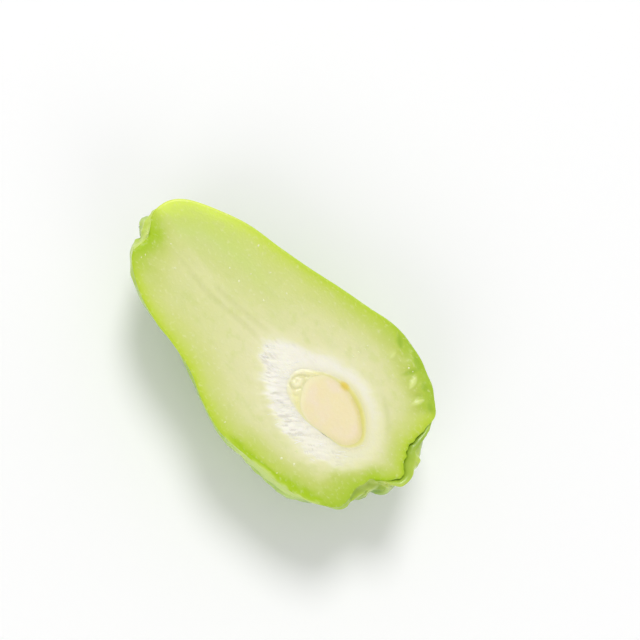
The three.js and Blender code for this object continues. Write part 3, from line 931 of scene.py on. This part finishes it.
# %% The cut face and its measures
def cut_face():
    """The grid of the cut face, from the skin's edge in to the pocket, and what its finish reads."""
    station, on_full_side, edge = edge_points(np.linspace(0, 1, 2 * SKIN_ALONG + 1))
    angle = angle_from_middle(edge)
    brink = from_middle(angle, reach_at(COAT_REACH, angle) + crack(angle), 0.0)
    inwards = (np.linspace(0, 1, FACE_RINGS + 1) ** RING_CROWDING)[None, :, None]
    flat_edge = (edge * (1, 1, 0))[:, None]
    points = flat_edge * (1 - inwards) + brink[:, None] * inwards
    along_line = np.linalg.norm(points - flat_edge, axis=-1)
    whole_edge = edge_points(np.linspace(0, 1, EDGE_SAMPLES, endpoint=False))[2]
    rim_distance = distance_to(points, whole_edge)
    pith_share, vein, torn = pith_mask(points), veins(points), tears(points)
    points[..., 2] = FACE_LEVEL + face_relief(points, rim_distance, pith_share, vein, torn)
    points[..., 2] -= np.where(on_full_side[:, None], face_drop(station[:, None], along_line), 0)
    points[:, 0] = edge + (0, 0, EDGE_LEVEL)

    vivid = sum(share * bell(distance_from(points, x, y), reach) for x, y, reach, share in GREEN_SPOTS)
    in_groove, outside_groove = green_groove(points)
    pale_rim = smooth(outside_groove + 0.2 * soft_noise(points, 2, 59)) * (outside_groove > 0)
    points[..., 2] -= GROOVE_DEPTH * in_groove * smooth(rim_distance)
    blossom_edge = (smooth((station - BLOSSOM_FROM) / 0.8) * on_full_side)[:, None] * bell(rim_distance, 0.9)
    angle, beyond = angle_from_middle(points), beyond_pith(points)
    off_seed = distance_from(points, *MIDDLE) - reach_at(COAT_REACH, angle)
    return points, {
        "rim": rim_distance * round_the_rim(FADE_ROUND, station, on_full_side)[:, None],
        "pith": pith_share, "halo": smooth((6.5 - beyond) / 9), "cream": smooth((24 - beyond) / 24),
        "spongy": spongy(points), "torn": torn, "pale_rim": pale_rim, "vein": vein,
        "by_seed": bell(off_seed, 1.5) * (0.25 + 0.75 * bell(turn_off(angle, 65), 80)),
        "cream_side": bell(turn_off(angle, 5), 55),
        "ring": bell(off_seed - 8.4, 1.2) * bell(turn_off(angle, 42), 24),
        "green_side": round_the_rim(GREEN_ROUND, station, on_full_side)[:, None],
        "bright": round_the_rim(BRIGHT_ROUND, station, on_full_side)[:, None],
        # The pleats' height, turned over, is read by the finish as painted shade in the nicks and painted
        # highlight on the ridges.
        "vivid": np.clip(vivid + in_groove + 0.8 * blossom_edge, 0, 1), "pleat": -pleats(points)}


# %% The skin and its measures
def skin_sheet():
    """The grid of the skin from one cut edge round the belly to the other, and what its finish reads."""
    station, turn = np.meshgrid(
        np.linspace(0, LAST_STATION, SKIN_ALONG + 1), np.linspace(0, 1, SKIN_ROUND + 1), indexing="ij")
    angle = math.pi * (turn - CLOSER_AT_EDGES * np.sin(2 * math.pi * turn) / (2 * math.pi))
    points, furrow_share, crease, dents = skin_surface(station, angle)
    points[..., 2] += EDGE_LEVEL * (1 - smooth(np.minimum(angle, math.pi - angle) / 0.12))
    below, on_full_side = points[..., 2], angle < math.pi / 2
    # A darker patch in the notch at the stem is painted shade, added to the furrow share below.
    notch_painted_shade, near_cut = bell(distance_from(points, -2.5, 0.8, -2.5), 2.6), bell(below, 13)
    stem, flower = distance_from(points, 0, 0.5, 0), distance_from(points, 124, 0, 0)
    along_crevice = smooth((station - BLOSSOM_FROM) / 0.8) * bell(np.degrees(angle) - 1.5, 4.5)
    return points, {
        "in_furrow": np.clip(furrow_share + 0.35 * notch_painted_shade, 0, 1), "crease": crease, "raised": dents,
        "scar": 0.6 * bell(stem, 1.1) + 0.3 * bell(flower, 1.2),
        # Near the cut at the two ends: the masks for the painted light on the skin.
        "stem_end": bell(distance_from(points, -3, 1, 0), 22) * near_cut,
        "flower_end": bell(distance_from(points, 126, 7, 0), 18) * near_cut,
        # Just below the cut edge, most on the ragged lip: the mask for painted light through the thin skin.
        "thin_edge": bell(below, 4.5) * knife_side(points) * (angle > math.pi / 2) + 0.4 * bell(below, 2.0),
        "crevice": np.maximum(along_crevice, bell(distance_from(points, 124.5, -0.5, -1.5), 2.8)),
        "green_side": round_the_rim(GREEN_ROUND, station, on_full_side),
        "bright": round_the_rim(BRIGHT_ROUND, station, on_full_side)}


# %% The pocket, and the fruit as one piece
def pocket_sheet(brink):
    """The bowl that the seed lies in, hung from the brink of the cut face."""
    angle = angle_from_middle(brink)[:, None]
    down = np.linspace(0, 1, POCKET_RINGS + 1)[None, :]
    points = bowl(angle, reach_at(COAT_REACH, angle) + crack(angle), POCKET_DEPTH, 0.0, down)
    points[..., 2] += brink[:, 2, None] * (1 - down)
    return points, {"rim": 20.0, "pith": 1.0}


face_points, face_measures = cut_face()
skin_points, skin_measures = skin_sheet()
pocket_points, pocket_measures = pocket_sheet(face_points[:, -1])
fruit = make_piece("fruit", [
    (skin_points, False, 0, skin_measures),
    (face_points, True, 1, face_measures),
    (pocket_points, True, 1, pocket_measures),
], [skin_finish, flesh_finish])
fruit.data.set_sharp_from_angle(angle=math.radians(70))
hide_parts("fruit_half")
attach(fruit, "root")


# %% [markdown]
# ## Fibres and drops
#
# Two small things are scattered over the cut face. The pith is torn by the knife into short white fibres
# that lie mostly one way, and the wet flesh has a few tiny drops of juice on it. Both are many copies of one
# simple shape on a surface, so both are made with Geometry Nodes: points are strewn on a copy of the cut
# face, with more of them where a measure on it is high, and each point gets the shape with its own turn and
# size. Placing them by hand or with a particle system would work too, but a node tree keeps the numbers
# together.

# %% A node tree in a few lines
class Recipe(Network):
    """A Geometry Nodes tree under construction, with named inputs."""

    def __init__(self, name, inputs):
        super().__init__(bpy.data.node_groups.new(name, "GeometryNodeTree"))
        sockets = self.tree.interface
        sockets.new_socket("Geometry", in_out="INPUT", socket_type="NodeSocketGeometry")
        self.values, self.identifiers = inputs, {}
        for key, value in inputs.items():
            kind = {float: "NodeSocketFloat", int: "NodeSocketInt"}.get(type(value), "NodeSocketMaterial")
            self.identifiers[key] = sockets.new_socket(key, in_out="INPUT", socket_type=kind).identifier
        sockets.new_socket("Geometry", in_out="OUTPUT", socket_type="NodeSocketGeometry")
        self.given = self.tree.nodes.new("NodeGroupInput").outputs

    def step(self, kind, settings=None, **sockets):
        """What comes out of a new node, whose sockets are written with underscores."""
        made = self.node(kind, settings, {key.replace("_", " "): value for key, value in sockets.items()})
        return next(s for s in made.outputs if s.enabled)

    def vector(self, **parts):
        return self.step("ShaderNodeCombineXYZ", **parts)

    def random_vector(self, low, high, seed):
        """Three random numbers for each point, each between its own two limits."""
        limits = {"Min": low, "Max": high, "Seed": seed}
        return self.step("FunctionNodeRandomValue", {"data_type": "FLOAT_VECTOR"}, **limits)

    def scatter(self, share, shape, rotation, scale):
        """Strew a shape over the surface, denser where the share is high, as real mesh with its finish."""
        given = self.given
        here = Amount(self, self.step("GeometryNodeInputNamedAttribute", {"data_type": "FLOAT"}, Name=share))
        points = self.step("GeometryNodeDistributePointsOnFaces", {"distribute_method": "RANDOM"},
                           Mesh=given["Geometry"], Density=here * given["Density"], Seed=given["Seed"])
        copies = self.step("GeometryNodeInstanceOnPoints", Points=points, Instance=shape,
                           Rotation=rotation, Scale=scale)
        solid = self.step("GeometryNodeRealizeInstances", Geometry=copies)
        shaded = self.step("GeometryNodeSetShadeSmooth", Geometry=solid)
        finished = self.step("GeometryNodeSetMaterial", Geometry=shaded, Material=given["Finish"])
        self.node("NodeGroupOutput", {}, {"Geometry": finished})

    def apply(self, name, carrier):
        """Run the tree on the carrier and keep the result as a plain mesh object of its own."""
        modifier = carrier.modifiers.new(name, "NODES")
        modifier.node_group = self.tree
        for key, value in self.values.items():
            modifier[self.identifiers[key]] = value
        bpy.context.view_layer.update()
        ready = carrier.evaluated_get(bpy.context.evaluated_depsgraph_get())
        mesh = bpy.data.meshes.new_from_object(ready)
        carrier.modifiers.remove(modifier)
        mesh.name = name
        mesh.materials.clear()      # the bare ground leaves an empty slot before the finish
        mesh.materials.append(self.values["Finish"])
        mesh.polygons.foreach_set("material_index", np.zeros(len(mesh.polygons), np.int32))
        print(f"{name}: {len(mesh.polygons)} faces")
        return placed(name, mesh)


# %% A bare copy of the cut face to strew things on
def strewing_ground(points, shares):
    """An open copy of the cut face that carries how much of each thing lies where."""
    mesh = bpy.data.meshes.new("strewing_ground")
    faces = grid_faces(points.shape[0] - 1, points.shape[1] - 1, turned_over=True)
    mesh.from_pydata(in_frame(points.reshape(-1, 3)).tolist(), [], faces.tolist())
    for measure, values in shares.items():
        carry(mesh, measure, values)
    return placed("strewing_ground", mesh)


in_pith = face_measures["pith"]
fibre_share = in_pith ** 1.5 * spongy(face_points) * smooth(0.4 + soft_noise(face_points, (4, 3, 3), 111))
open_flesh = smooth((face_measures["rim"] - 1.2) / 3) * (1 - in_pith)
drop_share = open_flesh * smooth(soft_noise(face_points, (11, 8, 8), 121) * 1.4)
ground = strewing_ground(face_points, {"fibre_share": fibre_share, "drop_share": drop_share})
print("ground faces:", len(ground.data.polygons))

# %% [markdown]
# A fibre is a short tapered thread, a little bowed, under a fifth of a millimetre thick. A drop is a
# flattened bead that sits half sunk in the flesh. Their finishes are close to what they lie on: the fibres
# are dull and white, and the drops are smooth enough to catch a small soft glint. The fibres let no light
# through under their surface, because on so thin a thread that only turns them grey.

# %% Finishes of fibres and drops
fibre = Finish("pith_fibre")
fibre_tint = fibre.noise(3.0, detail=2.0, seed=3.3)
fibre_finish = fibre.done(
    Base_Color=fibre.mix(fibre_tint.between(0.35, 0.65), "#efeee4", "#fdfdf8"),
    Roughness=0.55 + (fibre_tint - 0.5) * 0.2, Specular_IOR_Level=0.3)

juice = Finish("juice")
juice_tint = juice.noise(14, detail=1.0, seed=6.1)
juice_finish = juice.done(
    Base_Color=juice.mix(juice_tint.between(0.35, 0.65), "#e6eaae", "#f0f3c4"),
    Roughness=0.16 + juice_tint * 0.10, Specular_IOR_Level=0.5, Coat_Weight=0.3, Coat_Roughness=0.10)

# %% Pith fibres
recipe = Recipe("pith_fibres", {
    "Length": 0.0020, "Thickness": 0.00009, "Bow": 0.00012, "Density": 0.7e6, "Seed": 5,
    "Finish": fibre_finish})
half_length = Amount(recipe, recipe.given["Length"]) * 0.5
along = recipe.amount("GeometryNodeSplineParameter")
thread = recipe.step(
    "GeometryNodeCurveQuadraticBezier", Resolution=4, Start=recipe.vector(X=half_length * -1.0),
    Middle=recipe.vector(Z=recipe.given["Bow"]), End=recipe.vector(X=half_length))
taper = along * (1.0 - along) * 4.0 * 0.8 + 0.2      # 1 in the middle of the thread, 0.2 at its tips
tapered = recipe.step("GeometryNodeSetCurveRadius", Curve=thread, Radius=taper)
profile = recipe.step("GeometryNodeCurvePrimitiveCircle", Resolution=5, Radius=recipe.given["Thickness"])
recipe.scatter(
    "fibre_share",
    recipe.step("GeometryNodeCurveToMesh", Curve=tapered, Profile_Curve=profile, Fill_Caps=True),
    recipe.random_vector((-0.1, -0.04, FIBRE_WAY - 0.5), (0.1, 0.04, FIBRE_WAY + 0.5), 11),
    recipe.random_vector((0.4, 0.5, 0.3), (1.5, 1.3, 0.6), 12))
pith_fibres = recipe.apply("pith_fibres", ground)
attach(pith_fibres, "root")

# %% Drops of juice
recipe = Recipe("juice_drops", {"Radius": 0.0005, "Density": 2.2e4, "Seed": 8, "Finish": juice_finish})
recipe.scatter(
    "drop_share",
    recipe.step("GeometryNodeMeshUVSphere", Segments=10, Rings=6, Radius=recipe.given["Radius"]),
    recipe.random_vector((0.0, 0.0, -3.1), (0.0, 0.0, 3.1), 21),
    recipe.random_vector((0.4, 0.4, 0.12), (1.1, 0.9, 0.22), 22))
juice_drops = recipe.apply("juice_drops", ground)
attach(juice_drops, "root")
bpy.data.objects.remove(ground)


# %% [markdown]
# ## The seed
#
# The seed fills its pocket. Its coat is a soft yellow skin: a thin line along the lower side, stronger in
# colour on the full side, a few millimetres wide at the far end, and crumpled into thin folds at the end
# towards the stem, with painted light on the crests of the folds and painted shade in their troughs. Its edge
# lies flush with the pith all round, because even a small step there would throw a dark line of shadow.
# Inside it lies the kernel, smooth and cream, with a soft rounded edge that carries a painted highlight,
# widest towards the stem, and a small ochre stain that it shares with the coat. Both are built like the
# bowls of the imported model, with more rings and with the folds made as real waves in the surface. The top
# sheet comes first in each, so that its colours reach right up to the rim.

# %% Seed finishes
coat = Finish("seed_coat")
veil = coat.noise(2.2, (1.5, 1, 1), detail=3.0, seed=2.5)
inward = coat.measure("inward") + (veil - 0.5) * 0.15
pale_side = coat.ramp(
    inward, (0.0, "#f7f4d8"), (0.12, "#f6f1cb"), (0.3, "#f3edb8"), (0.5, "#f1eaaa"), (1.0, "#f2ebaa"))
yellow_side = coat.ramp(
    inward, (0.0, "#efeab2"), (0.3, "#eae494"), (0.6, "#e3db78"), (0.85, "#e2d97c"), (1.0, "#e8dc8c"))
# Lighter on the crests of the folds and darker in their troughs: painted light and painted shade from their
# height.
crumpled = coat.mix(coat.measure("fold").between(0.15, 0.85), "#e3dfac", "#faf4cb")
coat_finish = coat.done(
    Base_Color=coat.coats(
        pale_side, (coat.measure("line"), yellow_side), (coat.measure("thick"), crumpled),
        (coat.measure("ochre_spot").between(0.1, 0.9) * 0.9, "#ebcf50")),
    Roughness=0.38 + (veil - 0.5) * 0.2, Coat_Weight=0.2, Coat_Roughness=0.2,
    Subsurface_Weight=0.2, Subsurface_Radius=(0.005, 0.004, 0.0015), Subsurface_Scale=0.5,
    Normal=coat.bump(veil, 0.2))

kernel = Finish("seed_kernel")
blush = kernel.noise(9, detail=2.0, seed=7.7)
dust = kernel.noise(1.4, detail=3.0, seed=1.1)
kernel_finish = kernel.done(
    Base_Color=kernel.coats(
        kernel.mix(blush.between(0.38, 0.62), "#f3e5b6", "#f4e4c2"),
        # A paler band along the kernel's rounded edge is a painted highlight.
        (kernel.measure("edge"), "#faf1c0"), (kernel.measure("yellowed"), "#e9da8c"),
        (dust.between(0.5, 0.8) * 0.25, "#faf1d6"),
        (kernel.measure("ochre_spot").between(0.1, 0.9) * 0.8, "#ebcf50")),
    Roughness=0.42 + (dust - 0.5) * 0.15, Coat_Weight=0.12, Coat_Roughness=0.25,
    Subsurface_Weight=0.2, Subsurface_Radius=(0.006, 0.0045, 0.002), Subsurface_Scale=0.5,
    Normal=kernel.bump(dust, 0.1))

# %% Sizes and folds of the seed
SEED_ROUND, COAT_RINGS, BOWL_RINGS, KERNEL_RINGS = 360, 30, 14, 40
COAT_FLOOR = 1.6                              # thickness of the coat under the kernel
COAT_SET, KERNEL_EDGE = 0.53, 0.50            # how far below the cut the coat and the kernel's edge lie
KERNEL_CROWN = 0.14                           # how far the kernel's middle stands over its edge
TUCKED_UNDER = 0.25                           # how far the coat reaches in under the kernel's rim
KERNEL_DEPTH = POCKET_DEPTH - GAP - COAT_FLOOR - GAP
FOLDS = [   # course of x, y, then height and reach to either side: the crumpled end towards the stem
    ([(74.4, 2.4), (74.3, 4.6), (75.4, 7.0), (77.3, 9.0), (79.5, 10.4), (82.2, 11.2)], 0.34, 0.75),
    ([(77.0, 2.5), (78.1, 2.7), (78.3, 4.0), (77.6, 5.0)], 0.24, 0.6),
    ([(74.8, 1.0), (76.9, -0.3), (79.7, -1.4), (82.5, -2.0)], 0.20, 0.7),
    ([(75.4, 3.3), (75.6, 4.8), (77.0, 6.5), (78.6, 7.8)], -0.32, 0.65),
    ([(75.9, 1.2), (77.6, 0.7), (79.1, 1.4), (79.8, 2.8)], -0.26, 0.55),
    ([(79.9, 4.6), (79.4, 5.8), (78.2, 7.0)], -0.22, 0.55),
    ([(79.6, 7.4), (80.4, 8.8)], 0.16, 0.6),
    ([(79.7, -0.9), (81.0, -0.2)], -0.15, 0.6)]


def fold_relief(point):
    """Height in mm of the thin folds at the crumpled end of the coat."""
    folds = sum(height * bell(distance_to(point, dense(course)), breadth)
                for course, height, breadth in FOLDS)
    return folds * (1 + 0.5 * soft_noise(point, (2.2, 2.2, 2), 97))


# %% Seed coat
def brink_level(angle):
    """Height of the pocket's brink, so that the coat lies flush with the pith all round."""
    brink = face_points[:, -1]
    return np.interp(angle, angle_from_middle(brink), brink[:, 2], period=2 * math.pi)


def ochre_spot(point):
    """A small stain on the rim of the seed, on the coat and on the kernel beside it."""
    return bell(np.hypot((point[..., 0] - 90.6) / 2.3, (point[..., 1] - 15.7) / 1.6), 1.0)


def coat_edge(angle, inwards):
    """The coat's cut edge, from its outline in and under the kernel's rim, and what its finish reads."""
    angle, inwards = np.broadcast_arrays(angle, inwards)
    outer_reach, inner_reach = reach_at(COAT_REACH, angle), reach_at(KERNEL_REACH, angle) - TUCKED_UNDER
    point = from_middle(angle, outer_reach * (1 - inwards) + inner_reach * inwards, 0 * inwards)
    folds = fold_relief(point)
    at_brink, swell = 1 - smooth(inwards / 0.3), np.sin(math.pi * inwards)
    height = brink_level(angle) * at_brink - COAT_SET * (1 - at_brink) + 0.05 * swell
    height += folds * smooth(inwards / 0.3) * smooth((1 - inwards) / 0.15)
    point[..., 2] = height + 0.05 * rough_noise(point, 1.6, 95) * swell
    point[-1] = point[0]
    return point, {
        # The folds' height, read by the finish as painted light on the crests and painted shade in the
        # troughs.
        "inward": inwards, "fold": 0.5 + 1.5 * folds, "ochre_spot": ochre_spot(point),
        "thick": bell(np.hypot((point[..., 0] - 77.3) / 4.4, (point[..., 1] - 3.6) / 7.0), 1.0),
        "line": bell(turn_off(angle, 48), 75)}


seed_angle = np.linspace(0, 2 * math.pi, SEED_ROUND + 1)[:, None]
down = np.linspace(0, 1, BOWL_RINGS + 1)[None, :]
coat_reach, kernel_reach = reach_at(COAT_REACH, seed_angle), reach_at(KERNEL_REACH, seed_angle)
coat_top, coat_measures = coat_edge(seed_angle, np.linspace(0, 1, COAT_RINGS + 1)[None, :])
coat_outer = bowl(seed_angle, coat_reach, POCKET_DEPTH - GAP, 0.0, down)
coat_outer[..., 2] += coat_top[:, 0, 2, None] * (1 - down)
coat_inner = bowl(seed_angle, kernel_reach - TUCKED_UNDER, KERNEL_DEPTH + GAP, 0.0, down)
coat_inner[..., 2] += coat_top[:, -1, 2, None] * (1 - down)
seed_coat = make_piece("coat_of_seed", [
    (coat_top, False, 0, coat_measures),
    (coat_outer, True, 0, {"inward": 0.0}),
    (coat_inner, False, 0, {"inward": 1.0}),
], [coat_finish])
seed_coat.data.set_sharp_from_angle(angle=math.radians(60))
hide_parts("seed_coat")
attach(seed_coat, "root")

# %% Seed kernel
out = 1 - np.linspace(0, 1, KERNEL_RINGS + 1)[None, :]     # 1 at the rim, 0 in the middle
kernel_top = from_middle(seed_angle, kernel_reach * out, KERNEL_CROWN * (1 - out ** 4) - KERNEL_EDGE)
kernel_top[..., 2] += 0.07 * soft_noise(kernel_top, (7, 5, 5), 101) * smooth((1 - out) * 3)
kernel_top[-1] = kernel_top[0]
kernel_under = bowl(seed_angle, kernel_reach, KERNEL_DEPTH, -KERNEL_EDGE, down)
towards_stem = turn_off(seed_angle, 190)
margin = 0.06 + 0.22 * bell(towards_stem, 45)
kernel_measures = {
    # A painted highlight along the kernel's rim, wider and stronger towards the stem.
    "edge": smooth((out - 1 + margin) / margin) * (0.35 + 0.65 * bell(towards_stem, 70)),
    "yellowed": smooth((out - 0.76) / 0.24) * bell(turn_off(seed_angle, 50), 75),
    "ochre_spot": ochre_spot(kernel_top)}
seed_kernel = make_piece("kernel_of_seed", [
    (kernel_top, False, 0, kernel_measures),
    (kernel_under, True, 0, {"edge": 1.0}),
], [kernel_finish])
seed_kernel.data.set_sharp_from_angle(angle=math.radians(50))
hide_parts("seed_kernel")
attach(seed_kernel, "root")


# %% [markdown]
# ## The set: floor, light and camera
#
# The set is a plain white floor under a pale sky. The sky is white along the horizon, like the curved paper
# wall of a studio, and greyer overhead. Three soft suns are used instead of lamps near the fruit, because
# their light is equally strong everywhere: a key from beyond the stem end, a fill from the hollow side and a
# weak one that reaches the blossom end. The camera looks down on the cut face from 76 degrees, turned so that
# the fruit lies slantwise from the upper left to the lower right.

# %% Floor and lights
FLOOR_REACH = 30.0
floor_mesh = bpy.data.meshes.new("floor")
corners = [(x * FLOOR_REACH, y * FLOOR_REACH, 0) for x, y in ((-1, -1), (1, -1), (1, 1), (-1, 1))]
floor_mesh.from_pydata(corners, [], [(0, 1, 2, 3)])
floor_mesh.materials.append(Finish("white_floor").done(Base_Color="#fefefe", Roughness=0.6))
floor = placed("floor", floor_mesh)

world = bpy.data.worlds.new("pale_sky")
bpy.context.scene.world = world
world.use_nodes = True
sky = Network(world.node_tree)
direction = sky.node("ShaderNodeSeparateXYZ", {}, {0: sky.node("ShaderNodeTexCoord").outputs["Generated"]})
strength = sky.node("ShaderNodeMapRange", {"interpolation_type": "SMOOTHSTEP"}, {
    "Value": direction.outputs["Z"], "From Min": 0.15, "From Max": 0.70, "To Min": 0.98, "To Max": 0.41})
sky.feed(sky.tree.nodes["Background"], {"Color": "#ffffff", "Strength": strength.outputs["Result"]})


def soft_sun(name, place, spread, power):
    """A sun that shines from a place towards the fruit. Spread is its width in degrees, power is in W/m2."""
    sun = bpy.data.lights.new(name, "SUN")
    sun.angle, sun.energy = math.radians(spread), power
    placed(name, sun).rotation_euler = Vector(place).to_track_quat("Z", "Y").to_euler()
    print(f"{name}: {power} W/m2 over {spread} degrees")


soft_sun("key_light", (-0.95, 0.95, 1.65), 22, 1.41)
soft_sun("fill_light", (0.2, -1.4, 1.0), 35, 0.44)
soft_sun("blossom_light", (1.3, -0.2, 0.8), 35, 0.35)

# %% Camera
AZIMUTH, ELEVATION, ROLL = (math.radians(d) for d in (2.29, 75.99, 45.19))
CAMERA_DISTANCE = 0.5649
AIM = (66.2, 25.83, 0.0)     # what the camera looks at, in mm on the fruit's own lines
camera_data = bpy.data.cameras.new("camera")
camera_data.lens, camera_data.sensor_width = 85, 36
camera = placed("camera", camera_data)
back = Vector((math.sin(AZIMUTH) * math.cos(ELEVATION), -math.cos(AZIMUTH) * math.cos(ELEVATION),
               math.sin(ELEVATION)))
level = Vector((math.cos(AZIMUTH), math.sin(AZIMUTH), 0))
right = level * math.cos(ROLL) + back.cross(level) * math.sin(ROLL)
turned = Matrix((right, back.cross(right), back)).transposed()
aim = Vector(in_frame(np.array(AIM)))
camera.matrix_world = Matrix.Translation(aim + back * CAMERA_DISTANCE) @ turned.to_4x4()
bpy.context.scene.camera = camera
bpy.context.scene.view_settings.view_transform = "Standard"
print("camera at, m:", [round(v, 3) for v in camera.location])
